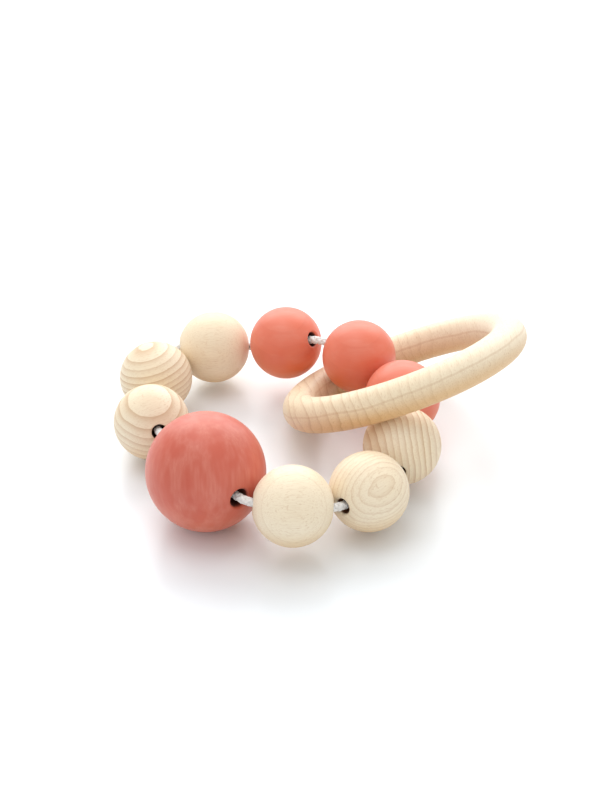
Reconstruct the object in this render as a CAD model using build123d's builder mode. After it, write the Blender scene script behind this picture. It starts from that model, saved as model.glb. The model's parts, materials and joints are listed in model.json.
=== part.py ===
"""Baby rattle: ten round wooden beads on one closed cord, with a wooden ring threaded on it.

Millimetres, +Z up. The rattle lies on the ground plane z = 0, as it comes to rest: the origin is
the middle of its footprint. The beads follow each other anticlockwise, seen from above, from the
big one. The cord is a closed line of straight runs, one through each bead, with a corner in the
gap after each bead.
"""
from build123d import *
import os
from math import acos, atan2, cos, pi, radians, sin, sqrt, tan

os.makedirs("parts", exist_ok=True)

# ---- driving dimensions ----------------------------------------------------------------------
small_d = 20.0          # nine small beads
big_d = 30.0            # the big bead
small_bore = 4.0
big_bore = 5.0          # wider, because the cord's knot is drawn up inside it
bore_round = 0.5        # rounding of the bores' mouths
cord_d = 2.4
ring_outer_d = 68.0
ring_tube_d = 9.4

# ---- clearances ------------------------------------------------------------------------------
ring_gap = 0.3          # between the ring's low side and the bead that leans on it
ring_over_gap = 0.4     # between the ring's high side and the beads that it passes over
bore_play = 0.3         # what the bent cord leaves free beside it at a bore's mouth
knot_fit = 0.05         # radial, between the knot and the big bead's bore

# ---- the string, bead by bead ----------------------------------------------------------------
# name of the bead, its diameter and bore; then, for the gap after it: the cord's turn in plan
# (degrees), the width of the gap, and the height of the cord's corner above a small bead's
# middle, as a share of the step between the two bead radii. The last turn closes the loop.
string = (
    ("big_coral_bead", big_d, big_bore, 58, 0.4, 1.00),
    ("natural_bead_1", small_d, small_bore, 48, 0.4, 0.45),
    ("natural_bead_2", small_d, small_bore, 34, 0.4, 0.10),
    ("natural_bead_3", small_d, small_bore, 12, 0.4, 0.75),
    ("coral_bead_1", small_d, small_bore, 58, 0.4, 0.60),
    ("coral_bead_2", small_d, small_bore, -5, 2.9, 1.85),
    ("coral_bead_3", small_d, small_bore, 35, 1.2, 0.05),
    ("natural_bead_4", small_d, small_bore, 67, 0.4, 0.50),
    ("natural_bead_5", small_d, small_bore, 34, 3.5, -0.50),
    ("natural_bead_6", small_d, small_bore, None, 8.2, 0.95),
)
first_heading = -54.5   # plan direction of the big bead's run, degrees from +X

# ---- the ring's lie --------------------------------------------------------------------------
ring_lean = 134         # plan direction towards the ring's low side, degrees from +X
ring_aside = -4.2       # the ring's middle from the first coral bead's, across that direction
ring_under = "coral_bead_2"     # the ring's low side is under the cord's corner after this bead,
ring_beside = "coral_bead_3"    # and just clears both
ring_over = ("natural_bead_2", "natural_bead_3")    # the ring's high side passes over these

# ---- stretches of the cord, each with the beads that it runs through -------------------------
stretches = (
    ("cord_in_big_bead", 0, 0),
    ("cord_front", 1, 1),
    ("cord_front_right", 2, 2),
    ("cord_ring_side", 3, 6),
    ("cord_back_left", 7, 7),
    ("cord_left", 8, 8),
    ("cord_front_left", 9, 9),
)

count = len(string)
names = [bead[0] for bead in string]
radii = [bead[1] / 2 for bead in string]
bores = [bead[2] for bead in string]
gaps = [bead[4] for bead in string]
small_r, big_r = small_d / 2, big_d / 2
corner_heights = [small_r + bead[5] * (big_r - small_r) for bead in string]


# ---- where everything lies -------------------------------------------------------------------
def plan_headings():
    """The plan direction of each bead's run, from the turns in the table."""
    headings = [radians(first_heading)]
    for bead in string[:-1]:
        headings.append(headings[-1] + radians(bead[3]))
    return headings


def close_loop(lengths, headings):
    """Headings that close the runs, bent from the given ones by a sine and a cosine wave."""
    lean_x, lean_y = 0.0, 0.0
    for _ in range(10):
        bent = [h + lean_x * cos(h) + lean_y * sin(h) for h in headings]
        end_x = sum(run * cos(b) for run, b in zip(lengths, bent))
        end_y = sum(run * sin(b) for run, b in zip(lengths, bent))
        xx = -sum(run * sin(b) * cos(h) for run, b, h in zip(lengths, bent, headings))
        xy = -sum(run * sin(b) * sin(h) for run, b, h in zip(lengths, bent, headings))
        yx = sum(run * cos(b) * cos(h) for run, b, h in zip(lengths, bent, headings))
        yy = sum(run * cos(b) * sin(h) for run, b, h in zip(lengths, bent, headings))
        det = xx * yy - xy * yx
        lean_x -= (yy * end_x - xy * end_y) / det
        lean_y -= (xx * end_y - yx * end_x) / det
    return bent


def lay_string(rise):
    """Corners of the cord, middles of the beads and directions of their bores.

    Corner i is in the gap after bead i. Two beads beside a corner stay a gap apart however much
    the cord turns there, because their distances to the corner grow with the turn. The corner
    over the ring's low side stands higher than in the table by the rise.
    """
    headings = plan_headings()
    heights = list(corner_heights)
    heights[names.index(ring_under)] += rise
    turns = [0.0] * count
    for _ in range(8):
        on = [(radii[i] + gaps[i] / 2) / cos(turns[i] / 2) for i in range(count)]
        back = [(radii[i] + gaps[i - 1] / 2) / cos(turns[i - 1] / 2) for i in range(count)]
        climbs = [heights[i] - heights[i - 1] for i in range(count)]
        flats = [sqrt((back[i] + on[i]) ** 2 - climbs[i] ** 2) for i in range(count)]
        bent = close_loop(flats, headings)
        x, y, corners = 0.0, 0.0, []
        for i in range(count):
            x, y = x + flats[i] * cos(bent[i]), y + flats[i] * sin(bent[i])
            corners.append(Vector(x, y, heights[i]))
        along = [(corners[i] - corners[i - 1]).normalized() for i in range(count)]
        middles = [corners[i - 1] + along[i] * back[i] for i in range(count)]
        turns = [radians(along[i].get_angle(along[(i + 1) % count])) for i in range(count)]
    drop = min(middle.Z - radius for middle, radius in zip(middles, radii))
    corners = [corner - Vector(0, 0, drop) for corner in corners]
    middles = [middle - Vector(0, 0, drop) for middle in middles]
    return corners, middles, along, turns


def bisect(gap_at, low, high):
    """The value between low and high where gap_at, which grows, passes zero."""
    for _ in range(40):
        middle = (low + high) / 2
        if gap_at(middle) < 0:
            low = middle
        else:
            high = middle
    return high


ring_tube_r = ring_tube_d / 2
ring_r = ring_outer_d / 2 - ring_tube_r


def ring_to_bead(ring_lie, middles, name):
    """Free distance between the ring's surface and a bead's."""
    ring_middle, ring_normal = ring_lie
    bead = names.index(name)
    away = middles[bead] - ring_middle
    height = away.dot(ring_normal)
    spread = (away - ring_normal * height).length
    return sqrt(height ** 2 + (spread - ring_r) ** 2) - ring_tube_r - radii[bead]


def lay_ring(tilt, middles):
    """The ring on the ground at this tilt, slid downhill until it just clears the bead on it."""
    downhill = Vector(cos(radians(ring_lean)), sin(radians(ring_lean)), 0)
    across = Vector(-downhill.Y, downhill.X, 0)
    normal = downhill * sin(tilt) + Vector(0, 0, cos(tilt))
    under = middles[names.index("coral_bead_1")] + across * ring_aside
    on_ground = Vector(under.X, under.Y, ring_r * sin(tilt) + ring_tube_r)

    def free(slide):
        return ring_to_bead((on_ground + downhill * slide, normal), middles, ring_under) - ring_gap

    slide = bisect(free, 0, ring_r)
    return on_ground + downhill * slide, normal


def tilt_ring(middles):
    """The least tilt at which the ring's high side is clear over the beads under it."""
    def clear(tilt):
        ring_lie = lay_ring(tilt, middles)
        return min(ring_to_bead(ring_lie, middles, name) for name in ring_over) - ring_over_gap

    return bisect(clear, radians(15), radians(60))


def clears_the_low_side(rise):
    """How much more than the set gap the ring has beside its low side, at this rise."""
    middles = lay_string(rise)[1]
    ring_lie = lay_ring(tilt_ring(middles), middles)
    return ring_to_bead(ring_lie, middles, ring_beside) - ring_gap


# the cord climbs more over a thicker or wider ring than the table says, if it has to
string_rise = bisect(clears_the_low_side, 0, small_r)
cord_corners, bead_middles, bore_lines, corner_turns = lay_string(string_rise)
ring_middle, ring_normal = lay_ring(tilt_ring(bead_middles), bead_middles)

# the middle of the footprint becomes the origin
ring_reach_x = ring_r * sqrt(1 - ring_normal.X ** 2) + ring_tube_r
ring_reach_y = ring_r * sqrt(1 - ring_normal.Y ** 2) + ring_tube_r
edges_x = [m.X - r for m, r in zip(bead_middles, radii)] + [ring_middle.X - ring_reach_x]
edges_x += [m.X + r for m, r in zip(bead_middles, radii)] + [ring_middle.X + ring_reach_x]
edges_y = [m.Y - r for m, r in zip(bead_middles, radii)] + [ring_middle.Y - ring_reach_y]
edges_y += [m.Y + r for m, r in zip(bead_middles, radii)] + [ring_middle.Y + ring_reach_y]
footprint = Vector(min(edges_x) + max(edges_x), min(edges_y) + max(edges_y), 0) / 2
cord_corners = [corner - footprint for corner in cord_corners]
bead_middles = [middle - footprint for middle in bead_middles]
ring_middle = ring_middle - footprint


# ---- the beads -------------------------------------------------------------------------------
def make_bead(name, middle, along, radius, bore):
    with BuildPart() as bead:
        with Locations(Plane(origin=middle, z_dir=along)):
            Sphere(radius)
            Cylinder(bore / 2, 2.2 * radius, mode=Mode.SUBTRACT)
        mouths = bead.edges().filter_by(GeomType.CIRCLE).filter_by(
            lambda edge: abs(edge.radius - bore / 2) < 1e-6)
        fillet(mouths, bore_round)
    bead.part.label = name
    export_step(bead.part, f"parts/{name}.step")


for i in range(count):
    make_bead(names[i], bead_middles[i], bore_lines[i], radii[i], bores[i])

# ---- the ring --------------------------------------------------------------------------------
with BuildPart() as wooden_ring:
    with Locations(Plane(origin=ring_middle, z_dir=ring_normal)):
        Torus(ring_r, ring_tube_r)
wooden_ring.part.label = "wooden_ring"
export_step(wooden_ring.part, "parts/wooden_ring.step")

# ---- the cord --------------------------------------------------------------------------------
cord_r = cord_d / 2


def corner_radius(i):
    """The largest arc at corner i that still leaves the bores beside it their play."""
    after = (i + 1) % count
    half_turn = tan(corner_turns[i] / 2)
    runs = [(cord_corners[k] - cord_corners[k - 1]).length for k in (i, after)]
    largest = 0.45 * min(runs) / half_turn
    for bead in (i, after):
        free = (cord_corners[i] - bead_middles[bead]).length - radii[bead]
        bend = bores[bead] / 2 - cord_r - bore_play
        lever = half_turn * free + bend
        fits = (lever + sqrt(lever ** 2 - (half_turn * free) ** 2)) / half_turn ** 2
        largest = min(largest, fits)
    return largest


arc_radii = [corner_radius(i) for i in range(count)]


def cut_plane(i):
    """The plane across the cord at corner i, halfway round its arc."""
    direction = (bore_lines[i] + bore_lines[(i + 1) % count]).normalized()
    return Plane(origin=cord_corners[i], z_dir=direction)


def make_stretch(name, first, last):
    """The cord from the corner before bead first to the corner after bead last."""
    before, after = (first - 1) % count, (last + 1) % count
    corners = [before] + list(range(first, last + 1))
    points = [bead_middles[before]] + [cord_corners[i] for i in corners] + [bead_middles[after]]
    with BuildPart() as stretch:
        with BuildLine() as route:
            FilletPolyline(*points, radius=[arc_radii[i] for i in corners])
        with BuildSketch(Plane(origin=route.wire() @ 0, z_dir=route.wire() % 0)):
            Circle(cord_r)
        sweep(path=route.wire())
        split(bisect_by=cut_plane(before), keep=Keep.TOP)
        split(bisect_by=cut_plane(last), keep=Keep.BOTTOM)
    stretch.part.label = name
    export_step(stretch.part, f"parts/{name}.step")
    return stretch.part.volume / (pi * cord_r ** 2)


cord_length = 0.0
for name, first, last in stretches:
    length = make_stretch(name, first, last)
    cord_length += length
    print(f"{name}: {length:.1f} mm long")
print("corner arcs, mm:", ", ".join(f"{radius:.1f}" for radius in arc_radii))
print(f"whole cord: {cord_length:.1f} mm round the loop")

# ---- the knot --------------------------------------------------------------------------------
# Three wraps round the cord in the middle of the big bead's bore.
knot_wraps = 3
wrap_step = 0.85 * cord_d
wrap_r = big_bore / 2 - knot_fit - cord_r
with BuildPart() as cord_knot:
    for wrap in range(knot_wraps):
        shift = (wrap - (knot_wraps - 1) / 2) * wrap_step
        with Locations(Plane(origin=bead_middles[0] + bore_lines[0] * shift, z_dir=bore_lines[0])):
            Torus(wrap_r, cord_r)
    with Locations(Plane(origin=bead_middles[0], z_dir=bore_lines[0])):
        Cylinder(cord_r, knot_wraps * cord_d + cord_d, mode=Mode.SUBTRACT)
cord_knot.part.label = "cord_knot"
export_step(cord_knot.part, "parts/cord_knot.step")
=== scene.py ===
"""Looks of the baby rattle: grained and stained beech beads, a beech ring and a braided cord.

The beads, the ring and the knot are the CAD model's own meshes with new materials. The cord is
braided here, in lengths that run from the middle of a bead to the middle of the next. Metres
throughout, except that the wood patterns work in millimetres.
"""

import json
import math

import bpy
from mathutils import Matrix, Vector


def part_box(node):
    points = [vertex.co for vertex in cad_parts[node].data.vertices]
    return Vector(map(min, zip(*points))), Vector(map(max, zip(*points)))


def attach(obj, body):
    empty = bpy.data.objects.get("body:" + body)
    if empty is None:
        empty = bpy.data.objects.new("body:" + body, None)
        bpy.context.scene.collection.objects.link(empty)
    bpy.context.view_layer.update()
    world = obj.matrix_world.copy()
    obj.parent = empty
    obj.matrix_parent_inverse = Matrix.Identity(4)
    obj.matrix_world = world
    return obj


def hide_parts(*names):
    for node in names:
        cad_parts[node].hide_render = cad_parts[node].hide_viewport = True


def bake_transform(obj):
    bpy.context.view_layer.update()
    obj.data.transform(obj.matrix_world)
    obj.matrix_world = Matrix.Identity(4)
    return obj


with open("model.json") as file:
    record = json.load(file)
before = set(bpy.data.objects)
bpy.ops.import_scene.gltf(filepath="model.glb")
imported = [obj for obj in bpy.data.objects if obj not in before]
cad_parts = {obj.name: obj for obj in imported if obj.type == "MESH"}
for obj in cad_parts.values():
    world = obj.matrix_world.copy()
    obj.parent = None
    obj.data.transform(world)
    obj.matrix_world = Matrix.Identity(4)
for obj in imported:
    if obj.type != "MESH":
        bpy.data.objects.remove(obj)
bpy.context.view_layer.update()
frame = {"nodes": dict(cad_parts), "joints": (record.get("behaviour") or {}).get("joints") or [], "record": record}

MM = 0.001

# ---- the string, in order round the loop, and the body that carries each bead's stretch -------
STRING = (
    ("big_coral_bead", "big_bead_stretch"),
    ("natural_bead_1", "front_stretch"),
    ("natural_bead_2", "front_right_stretch"),
    ("natural_bead_3", "ring_side_of_the_string"),
    ("coral_bead_1", "ring_side_of_the_string"),
    ("coral_bead_2", "ring_side_of_the_string"),
    ("coral_bead_3", "ring_side_of_the_string"),
    ("natural_bead_4", "back_left_stretch"),
    ("natural_bead_5", "left_stretch"),
    ("natural_bead_6", "front_left_stretch"),
)
CORD_NODES = ("cord_in_big_bead", "cord_front", "cord_front_right", "cord_ring_side",
              "cord_back_left", "cord_left", "cord_front_left")
FOLDING_BODY = "ring_side_of_the_string"    # the string folds at both its ends
BEADS = [bead for bead, _ in STRING]
COUNT = len(BEADS)


# ---- where the beads and their bores are -----------------------------------------------------
def middle_of(node):
    low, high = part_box(node)
    return (low + high) / 2


def radius_of(node):
    low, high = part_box(node)
    return max(high - low) / 2


MIDDLES = [middle_of(bead) for bead in BEADS]
RADII = [radius_of(bead) for bead in BEADS]
SPIN_AXES = {joint["child"]: Vector(joint["axis"]) for joint in frame["joints"]}


def bore_directions():
    """Directions of the bores, each towards the next bead.

    The small beads turn on them. The big bead's line lies in one plane with the line of each
    bead beside it, so it is where those two planes meet.
    """
    lines = [None] + [SPIN_AXES[bead].normalized() for bead in BEADS[1:]]
    after = (MIDDLES[1] - MIDDLES[0]).cross(lines[1])
    before = (MIDDLES[-1] - MIDDLES[0]).cross(lines[-1])
    lines[0] = after.cross(before).normalized()
    for i in range(COUNT):
        if lines[i].dot(MIDDLES[(i + 1) % COUNT] - MIDDLES[i - 1]) < 0:
            lines[i] = -lines[i]
    return lines


BORES = bore_directions()

RING_HOLE = frame["record"]["mounts"][0]
RING_NORMAL = Vector(RING_HOLE["axis"]).normalized()
RING_TUBE_RADIUS = RING_HOLE["dims"]["length_mm"] / 2 * MM
RING_RADIUS = RING_HOLE["dims"]["r_mm"] * MM + 2 * RING_TUBE_RADIUS


def corner_after(i):
    """Where the cord turns in the gap after bead i: the two bores' lines meet there."""
    j = (i + 1) % COUNT
    gap = MIDDLES[j] - MIDDLES[i]
    lean = BORES[i].dot(BORES[j])
    along = (gap.dot(BORES[i]) - lean * gap.dot(BORES[j])) / (1 - lean ** 2)
    back = (lean * gap.dot(BORES[i]) - gap.dot(BORES[j])) / (1 - lean ** 2)
    on_first = MIDDLES[i] + BORES[i] * along
    on_second = MIDDLES[j] + BORES[j] * back
    return (on_first + on_second) / 2


# ---- node helpers ----------------------------------------------------------------------------
class Nodes:
    """A node tree that is built by short calls."""

    def __init__(self, tree):
        self.tree = tree

    def add(self, kind, values=None, **settings):
        """A node with its settings; values fill or feed its inputs by name or number."""
        node = self.tree.nodes.new(kind)
        for name, value in settings.items():
            setattr(node, name, value)
        for key, value in (values or {}).items():
            self.feed(node.inputs[key], value)
        return node

    def feed(self, socket, value):
        """Links a node's first output or a socket to the socket, or sets it to a plain value."""
        if isinstance(value, bpy.types.Node):
            value = value.outputs[0]
        if isinstance(value, bpy.types.NodeSocket):
            self.tree.links.new(value, socket)
        else:
            socket.default_value = value

    def math(self, operation, *values):
        return self.add("ShaderNodeMath", dict(enumerate(values)), operation=operation).outputs[0]

    def vector(self, operation, *values):
        node = self.add("ShaderNodeVectorMath", operation=operation)
        for socket, value in zip(node.inputs, values):
            self.feed(socket, value)
        return node.outputs["Value" if operation in ("LENGTH", "DOT_PRODUCT") else "Vector"]

    def scaled(self, vector, amount):
        node = self.add("ShaderNodeVectorMath", {0: vector, "Scale": amount}, operation="SCALE")
        return node.outputs[0]

    def span(self, value, low, high, to_low=0.0, to_high=1.0, soft=True):
        """The value's place between low and high, clamped, as a share."""
        kind = "SMOOTHSTEP" if soft else "LINEAR"
        numbers = {"Value": value, "From Min": low, "From Max": high,
                   "To Min": to_low, "To Max": to_high}
        return self.add("ShaderNodeMapRange", numbers, interpolation_type=kind).outputs[0]

    def noise(self, vector, scale, detail=2.0, rough=0.5):
        values = {"Vector": vector, "Scale": scale, "Detail": detail, "Roughness": rough}
        return self.add("ShaderNodeTexNoise", values).outputs[0]

    def mix(self, share, first, second, blend="MIX"):
        node = self.add("ShaderNodeMix", data_type="RGBA", blend_type=blend)
        for socket, value in zip((node.inputs[0], node.inputs[6], node.inputs[7]),
                                 (share, first, second)):
            self.feed(socket, value)
        return node.outputs[2]


def group_nodes(name, kind, inputs, outputs):
    """A new node group with its sockets, and its builder, input node and output node."""
    tree = bpy.data.node_groups.new(name, kind)
    for socket, (socket_type, value) in inputs.items():
        made = tree.interface.new_socket(socket, in_out="INPUT", socket_type=socket_type)
        if value is not None:
            made.default_value = value
    for socket, socket_type in outputs.items():
        tree.interface.new_socket(socket, in_out="OUTPUT", socket_type=socket_type)
    build = Nodes(tree)
    return build, build.add("NodeGroupInput"), build.add("NodeGroupOutput")


FLOAT, VECTOR, GEOMETRY = "NodeSocketFloat", "NodeSocketVector", "NodeSocketGeometry"


def rgb(red, green, blue):
    return (red, green, blue, 1.0)


# ---- shared patterns -------------------------------------------------------------------------
# Noise scales are per millimetre. Along the fibre a pattern is drawn out, so it is scaled down.
GRAIN_STRETCH = (0.35, 1.0, 1.0)
STREAK_STRETCH = (0.07, 1.0, 1.0)
WANDER_SCALE, RIPPLE_SCALE, TONE_SCALE = 0.11, 0.8, 0.05
YEAR_END = 0.94             # share of a layer where its dark edge starts to drop off
FAINTEST_YEAR = 0.6         # how dark the palest year's edge is, against the darkest one's
FLECK_SCALE, FLECK_WIDTH, FLECK_THINNESS = 1.9, 0.9, 3.2
FLECK_SOFTNESS = 0.10
BORE_STARTS, FACE_STARTS = 0.90, 0.985      # shares of a bead's radius


def make_growth_rings():
    """Beech's year layers: distance from a far pith, with an edge where each year ends.

    The board's fibres run along local X, and the layers lie across local Z. Millimetres in.
    A high Line power leaves only a thin line at each edge, a low one a band that fades.
    """
    build, given, out = group_nodes(
        "beech growth rings", "ShaderNodeTree",
        {"Position": (VECTOR, None), "Layer width": (FLOAT, 2.0), "Pith distance": (FLOAT, 60.0),
         "Wander": (FLOAT, 1.2), "Ripple": (FLOAT, 0.12), "Line power": (FLOAT, 3.0),
         "Offset": (FLOAT, 0.0), "Seed": (FLOAT, 0.0)},
        {"Late wood": FLOAT, "Broad tone": FLOAT})
    position = given.outputs["Position"]
    parts = build.add("ShaderNodeSeparateXYZ", {0: position})
    seed = build.add("ShaderNodeCombineXYZ", {0: given.outputs["Seed"], 1: given.outputs["Seed"]})
    drawn = build.vector("MULTIPLY", position, GRAIN_STRETCH)
    shifted = build.vector("ADD", drawn, seed.outputs[0])
    wander = build.math("SUBTRACT", build.noise(shifted, WANDER_SCALE, rough=0.45), 0.5)
    ripple = build.math("SUBTRACT", build.noise(shifted, RIPPLE_SCALE), 0.5)
    depth = build.math("ADD", parts.outputs[2], given.outputs["Pith distance"])
    across = build.add("ShaderNodeCombineXYZ", {0: parts.outputs[1], 1: depth})
    from_pith = build.math("SUBTRACT", build.vector("LENGTH", across.outputs[0]),
                           given.outputs["Pith distance"])
    widths = build.math("DIVIDE", from_pith, given.outputs["Layer width"])
    bent = build.math("ADD", widths, build.math("MULTIPLY", wander, given.outputs["Wander"]))
    rough = build.math("MULTIPLY", ripple, given.outputs["Ripple"])
    layer = build.math("ADD", build.math("ADD", bent, rough), given.outputs["Offset"])
    year = build.math("FRACT", layer)
    rise = build.math("POWER", year, given.outputs["Line power"])
    fall = build.span(year, YEAR_END, 1.0, 1.0, 0.0)
    late = build.math("MULTIPLY", rise, fall)
    which = build.math("FLOOR", layer)
    strength = build.add("ShaderNodeTexWhiteNoise", {"W": which}, noise_dimensions="1D").outputs[0]
    even = build.span(strength, 0.0, 1.0, FAINTEST_YEAR, 1.0, soft=False)
    build.feed(out.inputs["Late wood"], build.math("MULTIPLY", late, even))
    build.feed(out.inputs["Broad tone"], build.noise(shifted, TONE_SCALE))
    return build.tree


def make_fibre():
    """Fine wood fibre along local X: long streaks, and the short flecks of beech's rays."""
    build, given, out = group_nodes(
        "wood fibre", "ShaderNodeTree",
        {"Position": (VECTOR, None), "Streak scale": (FLOAT, 3.5), "Fleck length": (FLOAT, 0.45),
         "Fleck share": (FLOAT, 0.62)},
        {"Streaks": FLOAT, "Flecks": FLOAT})
    position = given.outputs["Position"]
    long_way = build.vector("MULTIPLY", position, STREAK_STRETCH)
    streaks = build.noise(long_way, given.outputs["Streak scale"], 4.0, 0.65)
    squeeze = build.add("ShaderNodeCombineXYZ", {0: given.outputs["Fleck length"],
                                                 1: FLECK_WIDTH, 2: FLECK_THINNESS})
    fleck_place = build.vector("MULTIPLY", position, squeeze.outputs[0])
    spots = build.noise(fleck_place, FLECK_SCALE, 1.0, 0.4)
    least = given.outputs["Fleck share"]
    most = build.math("ADD", least, FLECK_SOFTNESS)
    build.feed(out.inputs["Streaks"], streaks)
    build.feed(out.inputs["Flecks"], build.span(spots, least, most))
    return build.tree


def make_bore_shade():
    """How deep a point is inside a bead: 1 in the bore, 0 on the outer face. Metres in."""
    build, given, out = group_nodes(
        "bore shade", "ShaderNodeTree",
        {"Position": (VECTOR, None), "Middle": (VECTOR, None), "Radius": (FLOAT, 0.01)},
        {"Inside": FLOAT})
    away = build.vector("SUBTRACT", given.outputs["Position"], given.outputs["Middle"])
    share = build.math("DIVIDE", build.vector("LENGTH", away), given.outputs["Radius"])
    build.feed(out.inputs["Inside"], build.span(share, BORE_STARTS, FACE_STARTS, 1.0, 0.0))
    return build.tree


GROWTH_RINGS = make_growth_rings()
FIBRE = make_fibre()
BORE_SHADE = make_bore_shade()


def placed(build, group, values):
    node = build.add("ShaderNodeGroup")
    node.node_tree = group
    for name, value in values.items():
        build.feed(node.inputs[name], value)
    return node


def new_material(name):
    material = bpy.data.materials.new(name)
    material.use_nodes = True
    material.node_tree.nodes.clear()
    build = Nodes(material.node_tree)
    shader = build.add("ShaderNodeBsdfPrincipled")
    output = build.add("ShaderNodeOutputMaterial")
    build.feed(output.inputs["Surface"], shader.outputs[0])
    return material, build, shader


def grain_turn(layer_normal, fibre):
    """Euler angles that bring the fibre to local X and the layers' normal to local Z."""
    up = Vector(layer_normal).normalized()
    along = Vector(fibre)
    along = (along - up * along.dot(up)).normalized()
    side = up.cross(along)
    return Matrix((along, side, up)).to_euler("XYZ")


def board_position(build, middle, turn):
    """Object coordinates about the piece's middle, turned to the board, in millimetres."""
    place = build.add("ShaderNodeTexCoord")
    centred = build.vector("SUBTRACT", place.outputs["Object"], tuple(middle))
    mapping = build.add("ShaderNodeMapping", {"Vector": build.scaled(centred, 1000.0),
                                              "Rotation": tuple(turn)})
    return mapping.outputs[0], place.outputs["Object"]


# ---- materials -------------------------------------------------------------------------------
# The third of these colours is painted shade, laid over the undersides of the bare beads and of the ring.
PALE, WARM, GOLDEN_SHADE = (0.90, 0.79, 0.61), (0.87, 0.73, 0.52), (0.85, 0.60, 0.33)
LATE, FLECK = (0.56, 0.34, 0.17), (0.60, 0.38, 0.20)
BIG_CORAL, SMALL_CORAL, RUBBED_CORAL = (0.64, 0.125, 0.072), (0.80, 0.19, 0.105), (0.82, 0.38, 0.29)
# Painted shade inside the bores of the bare and the coral beads.
BROWN_BORE_SHADE, RED_BORE_SHADE = (0.16, 0.06, 0.025), (0.10, 0.02, 0.008)
# The second of these is for the painted shade under the coral beads.
DEEPER, ORANGE_SHADE_SHARES = (0.86, 0.74, 0.70), (1.0, 0.85, 0.15)     # shares of a stain's colour
CLEAN_CORD, SOILED_CORD = (0.90, 0.885, 0.86), (0.80, 0.775, 0.74)

# roughness of the smoothest and the roughest fibre
BARE_BEAD_ROUGHNESS, STAINED_ROUGHNESS, RING_ROUGHNESS = (0.42, 0.55), (0.36, 0.48), (0.38, 0.5)
BUMP_DEPTH = 0.2 * MM
CORD_SOIL_SCALE = 900.0     # per metre
PATCH_SCALE = 0.22          # of the rubbed patches in the stain, per millimetre
RING_LINE_HALF, RING_LINE_CORE = 0.45 * MM, 0.05 * MM    # half widths of the line round the ring
RING_LINE_SWAY = 2.4 * MM   # how far that line wanders across the tube
RING_SWAY_SCALE = 60.0      # per metre
RING_LAYER_NORMAL, RING_FIBRE = (1.0, 0.12, 0.25), (-0.1, 1.0, 0.3)


def toned(colour, tone):
    return rgb(*(channel * tone for channel in colour))


def tinted(colour, shares):
    return rgb(*(channel * share for channel, share in zip(colour, shares)))


def fibre_surface(build, shader, fibres, roughness, bump_strength):
    """Roughness and bump that follow the fibre's streaks."""
    streaks = fibres.outputs["Streaks"]
    build.feed(shader.inputs["Roughness"], build.span(streaks, 0.3, 0.7, *roughness))
    bump = build.add("ShaderNodeBump", {"Strength": bump_strength, "Distance": BUMP_DEPTH,
                                        "Height": streaks})
    build.feed(shader.inputs["Normal"], bump.outputs[0])


def height_of(build, place):
    return build.add("ShaderNodeSeparateXYZ", {0: place}).outputs[2]


def bore_depth(build, place, middle, radius):
    values = {"Position": place, "Middle": tuple(middle), "Radius": radius}
    return placed(build, BORE_SHADE, values).outputs["Inside"]


def grained(build, layers, fibres, warmth, contrast, tone, flecks):
    """Bare beech: broad tone, year lines, fibre streaks and ray flecks, one over the other."""
    ground = build.mix(warmth, toned(PALE, tone), toned(WARM, tone))
    line = build.math("MULTIPLY", layers.outputs["Late wood"], contrast)
    lined = build.mix(line, ground, toned(LATE, tone))
    streak = build.span(fibres.outputs["Streaks"], 0.45, 0.75, 0.0, 0.3)
    streaked = build.mix(streak, lined, toned(LATE, tone))
    fleck = build.math("MULTIPLY", fibres.outputs["Flecks"], flecks)
    return build.mix(fleck, streaked, toned(FLECK, tone))


def plain_beech(name, node, layer_normal, fibre, width=2.4, pith=60.0, power=3.0, offset=0.0,
                wander=1.2, contrast=0.6, tone=1.0, seed=0.0, flecks=0.3, underside_shade=0.5):
    """Sanded, unvarnished beech on a bead. Painted shade makes it darker and warmer towards the underside."""
    material, build, shader = new_material(name)
    middle, radius = middle_of(node), radius_of(node)
    board, place = board_position(build, middle, grain_turn(layer_normal, fibre))
    layers = placed(build, GROWTH_RINGS, {"Position": board, "Layer width": width,
                                          "Pith distance": pith, "Wander": wander,
                                          "Line power": power, "Offset": offset, "Seed": seed})
    fibres = placed(build, FIBRE, {"Position": board})
    warmth = build.span(layers.outputs["Broad tone"], 0.35, 0.65)
    wood = grained(build, layers, fibres, warmth, contrast, tone, flecks)
    # painted shade: the lower half of the bead is made darker and warmer
    low = build.span(height_of(build, place), middle.z, middle.z - radius, 0.0, underside_shade)
    wood_with_painted_shade = build.mix(low, wood, toned(GOLDEN_SHADE, tone), blend="MULTIPLY")
    # painted shade in the bore and at its mouth
    inside = bore_depth(build, place, middle, radius)
    build.feed(shader.inputs["Base Color"], build.mix(inside, wood_with_painted_shade, rgb(*BROWN_BORE_SHADE)))
    fibre_surface(build, shader, fibres, BARE_BEAD_ROUGHNESS, 0.12)
    return material


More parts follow.
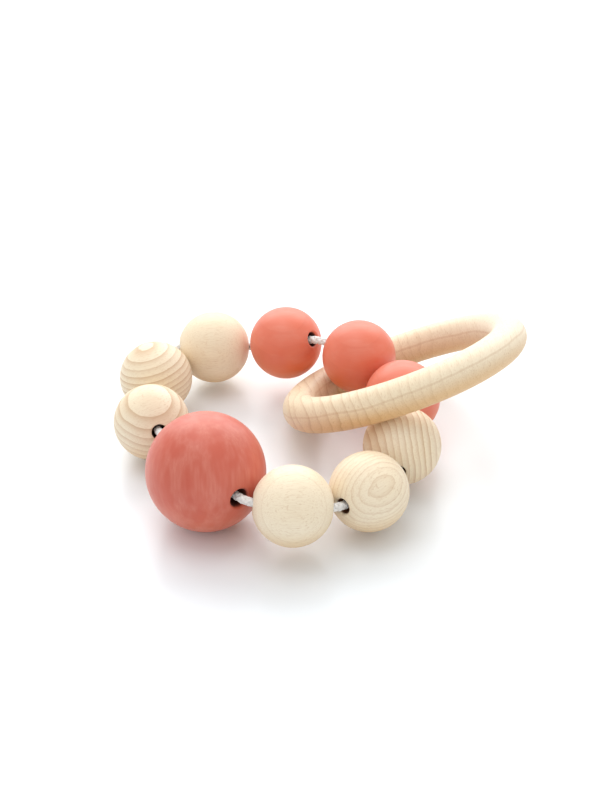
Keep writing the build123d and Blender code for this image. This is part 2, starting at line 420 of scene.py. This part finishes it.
def coral_stain(name, node, layer_normal, fibre, base, seed=0.0, worn=0.2, orange_underside_shade=0.9):
    """Beech under a matte coral stain: grain shows through, and it is rubbed paler in streaks.

    Painted shade makes the bead darker and more orange below its middle.
    """
    material, build, shader = new_material(name)
    middle, radius = middle_of(node), radius_of(node)
    board, place = board_position(build, middle, grain_turn(layer_normal, fibre))
    layers = placed(build, GROWTH_RINGS, {"Position": board, "Layer width": 2.6, "Seed": seed})
    fibres = placed(build, FIBRE, {"Position": board, "Streak scale": 1.6})
    deep, orange = tinted(base, DEEPER), tinted(base, ORANGE_SHADE_SHARES)
    mottled = build.mix(build.span(layers.outputs["Broad tone"], 0.3, 0.7), rgb(*base), deep)
    lined = build.mix(build.math("MULTIPLY", layers.outputs["Late wood"], 0.4), mottled, deep)
    # painted shade: darker and more orange towards the bead's underside
    low = build.span(height_of(build, place), middle.z + 0.2 * radius, middle.z - 0.8 * radius,
                     0.0, orange_underside_shade)
    stain_with_painted_shade = build.mix(low, lined, orange)
    patches = build.noise(build.vector("MULTIPLY", board, GRAIN_STRETCH), PATCH_SCALE, rough=0.6)
    patch = build.span(patches, 0.38, 0.66, 0.0, worn)
    threads = build.span(fibres.outputs["Streaks"], 0.35, 0.70, 0.5, 1.0)
    streaked = build.mix(build.math("MULTIPLY", patch, threads), stain_with_painted_shade, rgb(*RUBBED_CORAL))
    # painted shade in the bore and at its mouth
    inside = bore_depth(build, place, middle, radius)
    build.feed(shader.inputs["Base Color"], build.mix(inside, streaked, rgb(*RED_BORE_SHADE)))
    shader.inputs["Specular IOR Level"].default_value = 0.6
    shader.inputs["Sheen Weight"].default_value = 0.08
    fibre_surface(build, shader, fibres, STAINED_ROUGHNESS, 0.12)
    return material


def ring_wood():
    """Beech of the ring, cut from one board whose year layers stand across the tube in front.

    A painted highlight makes it paler to the right, painted shade makes its underside darker and warmer, and one
    thin dark line runs round it.
    """
    material, build, shader = new_material("ring_beech")
    middle = middle_of("wooden_ring")
    board, place = board_position(build, middle, grain_turn(RING_LAYER_NORMAL, RING_FIBRE))
    layers = placed(build, GROWTH_RINGS, {"Position": board, "Layer width": 2.6,
                                          "Pith distance": 150.0, "Wander": 2.0, "Ripple": 0.2,
                                          "Line power": 4.0, "Seed": 3.0})
    fibres = placed(build, FIBRE, {"Position": board})
    across = build.vector("SUBTRACT", place, tuple(middle))
    rightwards = build.add("ShaderNodeSeparateXYZ", {0: across}).outputs[0]
    # painted highlight: towards the right the ring is made paler, with fainter year lines
    warmth = build.span(rightwards, RING_RADIUS, -0.5 * RING_RADIUS, 0.0, 1.4)
    contrast = build.span(rightwards, 0.7 * RING_RADIUS, -0.7 * RING_RADIUS, 0.08, 0.7)
    wood = grained(build, layers, fibres, warmth, contrast, tone=0.97, flecks=0.4)
    height = build.vector("DOT_PRODUCT", across, tuple(RING_NORMAL))
    sway = build.math("MULTIPLY", build.noise(across, RING_SWAY_SCALE), RING_LINE_SWAY)
    off_line = build.math("ABSOLUTE", build.math("SUBTRACT", height, sway))
    line = build.span(off_line, RING_LINE_HALF, RING_LINE_CORE, 0.0, 0.3)
    lined = build.mix(line, wood, rgb(*LATE))
    # painted shade: the tube is made darker and warmer below the ring's middle plane
    low = build.span(height, 0.4 * RING_TUBE_RADIUS, -0.7 * RING_TUBE_RADIUS, 0.0, 0.8)
    build.feed(shader.inputs["Base Color"], build.mix(low, lined, rgb(*GOLDEN_SHADE), blend="MULTIPLY"))
    fibre_surface(build, shader, fibres, RING_ROUGHNESS, 0.1)
    return material


def braided_white():
    """White polyester braid with faintly soiled spots."""
    material, build, shader = new_material("white_cord")
    place = build.add("ShaderNodeTexCoord")
    soil = build.span(build.noise(place.outputs["Object"], CORD_SOIL_SCALE), 0.35, 0.7)
    build.feed(shader.inputs["Base Color"],
               build.mix(soil, rgb(*CLEAN_CORD), rgb(*SOILED_CORD)))
    shader.inputs["Roughness"].default_value = 0.55
    shader.inputs["Sheen Weight"].default_value = 0.2
    return material


def paint(node, material):
    """Gives a CAD node this material in every slot."""
    slots = frame["nodes"][node].data.materials
    if len(slots) == 0:
        slots.append(material)
    for i in range(len(slots)):
        slots[i] = material


# ---- the braided cord ------------------------------------------------------------------------
STRANDS = 8
CORD_RADIUS = 1.2 * MM
STRAND_RADIUS = 0.46 * MM
BRAID_PITCH = 7.0 * MM      # length of one turn of a strand
SAMPLE_STEP = 0.4 * MM
STRAND_SIDES, CORE_SIDES = 6, 12
OVER_UNDER = 0.25           # how far a strand rises and dips, as a share of its radius
BEND_REACH = 3.0 * MM       # how far inside a bead's mouth the cord starts to bend
MOST_BEND = 0.9             # of the way from the corner to a bead's middle, at the most
LOOSE_REACH = 2.5 * MM      # how far the cord goes into the bead where the loop is open


def make_braid_tree(material):
    """Strands round a path: half of them wind one way and half the other, over and under."""
    build, given, out = group_nodes(
        "braided cord", "GeometryNodeTree",
        {"Geometry": (GEOMETRY, None), "Cord radius": (FLOAT, CORD_RADIUS),
         "Strand radius": (FLOAT, STRAND_RADIUS), "Pitch": (FLOAT, BRAID_PITCH)},
        {"Geometry": GEOMETRY})
    sampled = build.add("GeometryNodeResampleCurve",
                        {"Curve": given.outputs["Geometry"], "Length": SAMPLE_STEP}, mode="LENGTH")
    copies = build.add("GeometryNodeDuplicateElements", {"Geometry": sampled, "Amount": STRANDS},
                       domain="SPLINE")
    number = copies.outputs["Duplicate Index"]
    odd = build.math("MODULO", number, 2.0)
    hand = build.math("SUBTRACT", build.math("MULTIPLY", odd, 2.0), 1.0)
    start = build.math("MULTIPLY", number, 2 * math.pi / STRANDS)
    length = build.add("GeometryNodeSplineParameter").outputs["Length"]
    turns = build.math("DIVIDE", length, given.outputs["Pitch"])
    wound = build.math("MULTIPLY", build.math("MULTIPLY", turns, 2 * math.pi), hand)
    angle = build.math("ADD", wound, start)
    wave = build.math("SINE", build.math("MULTIPLY", angle, STRANDS / 2))
    strand_radius = given.outputs["Strand radius"]
    lap = build.math("MULTIPLY", build.math("MULTIPLY", wave, hand), OVER_UNDER)
    inner = build.math("SUBTRACT", given.outputs["Cord radius"], strand_radius)
    reach = build.math("SUBTRACT", inner, build.math("MULTIPLY", strand_radius, OVER_UNDER))
    off = build.math("ADD", reach, build.math("MULTIPLY", lap, strand_radius))
    normal = build.add("GeometryNodeInputNormal").outputs[0]
    tangent = build.add("GeometryNodeInputTangent").outputs[0]
    side = build.vector("CROSS_PRODUCT", tangent, normal)
    out_normal = build.scaled(normal, build.math("MULTIPLY", build.math("COSINE", angle), off))
    out_side = build.scaled(side, build.math("MULTIPLY", build.math("SINE", angle), off))
    moved = build.add("GeometryNodeSetPosition",
                      {"Geometry": copies, "Offset": build.vector("ADD", out_normal, out_side)})
    profile = build.add("GeometryNodeCurvePrimitiveCircle",
                        {"Resolution": STRAND_SIDES, "Radius": strand_radius})
    strands = build.add("GeometryNodeCurveToMesh",
                        {"Curve": moved, "Profile Curve": profile.outputs["Curve"],
                         "Fill Caps": True})
    core_profile = build.add("GeometryNodeCurvePrimitiveCircle",
                             {"Resolution": CORE_SIDES, "Radius": inner})
    core = build.add("GeometryNodeCurveToMesh",
                     {"Curve": sampled, "Profile Curve": core_profile.outputs["Curve"],
                      "Fill Caps": True})
    together = build.add("GeometryNodeJoinGeometry")
    build.tree.links.new(strands.outputs[0], together.inputs[0])
    build.tree.links.new(core.outputs[0], together.inputs[0])
    real = build.add("GeometryNodeRealizeInstances", {"Geometry": together})
    painted = build.add("GeometryNodeSetMaterial", {"Geometry": real, "Material": material})
    smooth = build.add("GeometryNodeSetShadeSmooth", {"Geometry": painted})
    build.feed(out.inputs["Geometry"], smooth)
    return build.tree


def cord_path(name, points):
    """A smooth open line through the middles of two neighbouring bores."""
    curve = bpy.data.curves.new(name, "CURVE")
    curve.dimensions = "3D"
    curve.twist_mode = "MINIMUM"
    spline = curve.splines.new("NURBS")
    spline.points.add(len(points) - 1)
    for place, point in zip(spline.points, points):
        place.co = (*point, 1.0)
    spline.order_u = 3          # quadratic
    spline.use_endpoint_u = True
    spline.resolution_u = 16
    piece = bpy.data.objects.new(name, curve)
    bpy.context.scene.collection.objects.link(piece)
    return piece


def braid(path, tree, name):
    """The path's braid as a plain mesh."""
    modifier = path.modifiers.new("braid", "NODES")
    modifier.node_group = tree
    sizes = {"Cord radius": CORD_RADIUS, "Strand radius": STRAND_RADIUS, "Pitch": BRAID_PITCH}
    for item in tree.interface.items_tree:
        if item.item_type == "SOCKET" and item.in_out == "INPUT" and item.name in sizes:
            modifier[item.identifier] = sizes[item.name]
    bpy.context.view_layer.update()
    graph = bpy.context.evaluated_depsgraph_get()
    mesh = bpy.data.meshes.new_from_object(path.evaluated_get(graph), depsgraph=graph)
    piece = bpy.data.objects.new(name, mesh)
    bpy.context.scene.collection.objects.link(piece)
    path.modifiers.remove(modifier)
    bpy.data.objects.remove(path)
    return piece


def gap_points(i):
    """Control points of the cord from the middle of bead i to the middle of the next.

    The curve leaves a bore's line halfway between the point on that line and the corner.
    """
    j = (i + 1) % COUNT
    corner = corner_after(i)
    points = [MIDDLES[i]]
    for bead, direction in ((i, BORES[i]), (j, -BORES[j])):
        reach = (corner - MIDDLES[bead]).length
        bend = 2 * (reach - RADII[bead] + BEND_REACH)
        points.append(corner - direction * min(bend, MOST_BEND * reach))
    points.insert(2, corner)
    points.append(MIDDLES[j])
    return points


def halves(points):
    """The two halves of a smooth bend: they meet in its middle, in line with each other.

    The bend is a quadratic spline, which is cut in two here without a change of shape.
    """
    start, before, corner, after, end = points
    middle = (before + 6 * corner + after) / 8
    return [start, before, (before + 3 * corner) / 4, middle], \
           [middle, (3 * corner + after) / 4, after, end]


def loose_end(i):
    """Where the cord ends in the mouth of bead i, at the gap where the loop is open."""
    towards_gap = (corner_after(i) - MIDDLES[i]).normalized()
    return MIDDLES[i] + towards_gap * (RADII[i] - LOOSE_REACH)


def cord_piece(name, points, tree):
    """One braided length, which with the others stands for the CAD cord."""
    piece = braid(cord_path(name + "_path", points), tree, name)
    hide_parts(*CORD_NODES)
    return piece


def make_cord():
    """The braided cord, piece by piece round the loop.

    A gap on one body has one piece. Where the string folds, the piece is one whole length on no body.
    Where it only turns a little sideways, there is one half for each of the two bodies. At the
    last gap the loop is open, and the cord hangs with the big bead.
    """
    white = braided_white()
    tree = make_braid_tree(white)
    for i, (bead, body) in enumerate(STRING):
        next_body = STRING[(i + 1) % COUNT][1]
        points = gap_points(i)
        name = f"cord_after_{bead}"
        if i == COUNT - 1:
            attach(cord_piece(name, [loose_end(i)] + points[2:], tree), next_body)
        elif body == next_body:
            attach(cord_piece(name, points, tree), body)
        elif FOLDING_BODY in (body, next_body):
            piece = cord_piece(name, points, tree)
            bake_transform(piece)
        else:
            near, far = halves(points)
            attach(cord_piece(name + "_near", near, tree), body)
            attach(cord_piece(name + "_far", far, tree), next_body)
    paint("cord_knot", white)


# ---- who gets which wood ---------------------------------------------------------------------
RIGHT, UP = (1.0, 0.0, 0.0), (0.0, 0.0, 1.0)

# Each bead is turned from its own piece of wood: the bead, its wood's name, the normal of the
# year layers, the way the fibre runs, and the figure that this gives.
BEECH_CUTS = (
    ("natural_bead_1", "beech_cap_forward", (0.08, -0.86, 0.50), RIGHT,
     dict(width=3.9, power=20.0, offset=0.31, wander=0.3, contrast=0.8, seed=1.0)),
    ("natural_bead_2", "beech_flecked", (0.37, -0.67, 0.66), (0.86, 0.27, 0.42),
     dict(width=1.5, pith=-15.0, power=4.0, offset=0.1, wander=2.2, contrast=0.5, seed=2.0,
          flecks=0.35)),
    ("natural_bead_3", "beech_edge_lines", (1.0, 0.2, 0.1), (0.1, -0.3, 1.0),
     # natural_bead_3 gets less painted shade on its underside
     dict(width=1.6, pith=120.0, power=2.5, contrast=0.95, seed=3.0, underside_shade=0.3)),
    ("natural_bead_4", "beech_smooth", (0.04, -0.84, 0.54), RIGHT,
     dict(width=5.0, pith=90.0, contrast=0.15, seed=4.0, flecks=0.2)),
    ("natural_bead_5", "beech_cap_up", (-0.2, 0.10, 0.97), RIGHT,
     dict(width=1.55, pith=120.0, power=2.2, offset=0.7, wander=0.5, contrast=0.85, seed=5.0)),
    ("natural_bead_6", "beech_pale_cap", (0.05, -0.22, 0.97), (1.0, 0.5, 0.0),
     dict(width=2.1, pith=120.0, power=2.2, offset=0.05, wander=0.6, contrast=0.8, seed=6.0)),
)
CORAL_CUTS = (
    ("big_coral_bead", "coral_big", (0.6, -0.6, 0.3), (0.3, 0.1, 1.0), BIG_CORAL,
     # the big bead gets less painted shade on its underside
     dict(seed=1.0, worn=0.28, orange_underside_shade=0.4)),
    ("coral_bead_1", "coral_small_1", UP, RIGHT, SMALL_CORAL, dict(seed=5.0)),
    ("coral_bead_2", "coral_small_2", UP, RIGHT, SMALL_CORAL, dict(seed=6.0)),
    ("coral_bead_3", "coral_small_3", UP, RIGHT, SMALL_CORAL, dict(seed=7.0)),
)


def finish_wood():
    for bead, wood, layer_normal, fibre, figure in BEECH_CUTS:
        paint(bead, plain_beech(wood, bead, layer_normal, fibre, **figure))
    for bead, stain, layer_normal, fibre, base, figure in CORAL_CUTS:
        paint(bead, coral_stain(stain, bead, layer_normal, fibre, base, **figure))
    paint("wooden_ring", ring_wood())


# ---- stage, lights and camera ----------------------------------------------------------------
FLOOR_HALF = 3.0
FLOOR_DROP = 0.1 * MM       # keeps the floor just clear of the beads
FLOOR_COLOUR, FLOOR_ROUGHNESS = (0.86, 0.90, 0.93), 0.28
SKY_BRIGHTNESS = 0.86
# name, place, size and radiance of each flat lamp
SOFTBOXES = (
    ("back_softbox", (0.0, 1.1, 0.8), (1.9, 1.3), 2.4),
    ("top_softbox", (-0.15, 0.05, 1.1), (0.6, 0.6), 1.8),
)
LENS, SENSOR_WIDTH = 73.4, 36.0
CAMERA_AZIMUTH = 2.55
CAMERA_ELEVATION = 33.0
CAMERA_DISTANCE = 0.4388
CAMERA_ROLL = -2.38
AIM = Vector((-5.11, 13.24, 10.0)) * MM


def make_floor():
    mesh = bpy.data.meshes.new("floor")
    corners = [(-FLOOR_HALF, -FLOOR_HALF, 0), (FLOOR_HALF, -FLOOR_HALF, 0),
               (FLOOR_HALF, FLOOR_HALF, 0), (-FLOOR_HALF, FLOOR_HALF, 0)]
    mesh.from_pydata(corners, [], [(0, 1, 2, 3)])
    floor = bpy.data.objects.new("floor", mesh)
    bpy.context.scene.collection.objects.link(floor)
    floor.location.z = -FLOOR_DROP
    material, _, shader = new_material("floor_white")
    shader.inputs["Base Color"].default_value = rgb(*FLOOR_COLOUR)
    shader.inputs["Roughness"].default_value = FLOOR_ROUGHNESS
    mesh.materials.append(material)


def make_softbox(name, place, size, radiance):
    """A flat rectangular lamp that faces the object."""
    lamp = bpy.data.lights.new(name, "AREA")
    lamp.shape = "RECTANGLE"
    lamp.size, lamp.size_y = size
    lamp.energy = radiance * math.pi * size[0] * size[1]
    light = bpy.data.objects.new(name, lamp)
    light.location = place
    light.rotation_euler = (AIM - Vector(place)).to_track_quat("-Z", "Y").to_euler()
    bpy.context.scene.collection.objects.link(light)


def make_lights():
    world = bpy.data.worlds.new("studio")
    world.use_nodes = True
    background = world.node_tree.nodes["Background"]
    background.inputs["Color"].default_value = rgb(1.0, 1.0, 1.0)
    background.inputs["Strength"].default_value = SKY_BRIGHTNESS
    bpy.context.scene.world = world
    for softbox in SOFTBOXES:
        make_softbox(*softbox)
    bpy.context.scene.view_settings.view_transform = "Standard"


def make_camera():
    azimuth, elevation = math.radians(CAMERA_AZIMUTH), math.radians(CAMERA_ELEVATION)
    back = Vector((math.sin(azimuth) * math.cos(elevation),
                   -math.cos(azimuth) * math.cos(elevation), math.sin(elevation)))
    right = Vector((math.cos(azimuth), math.sin(azimuth), 0))
    up = back.cross(right)
    turn = Matrix.Rotation(math.radians(CAMERA_ROLL), 3, back)
    right, up = turn @ right, turn @ up
    data = bpy.data.cameras.new("camera")
    data.lens = LENS
    data.sensor_width = SENSOR_WIDTH
    data.clip_start, data.clip_end = 0.01, 10.0
    camera = bpy.data.objects.new("camera", data)
    camera.matrix_world = Matrix((right, up, back)).transposed().to_4x4()
    camera.location = AIM + back * CAMERA_DISTANCE
    bpy.context.scene.collection.objects.link(camera)
    bpy.context.scene.camera = camera


make_camera()
make_cord()
finish_wood()
make_floor()
make_lights()
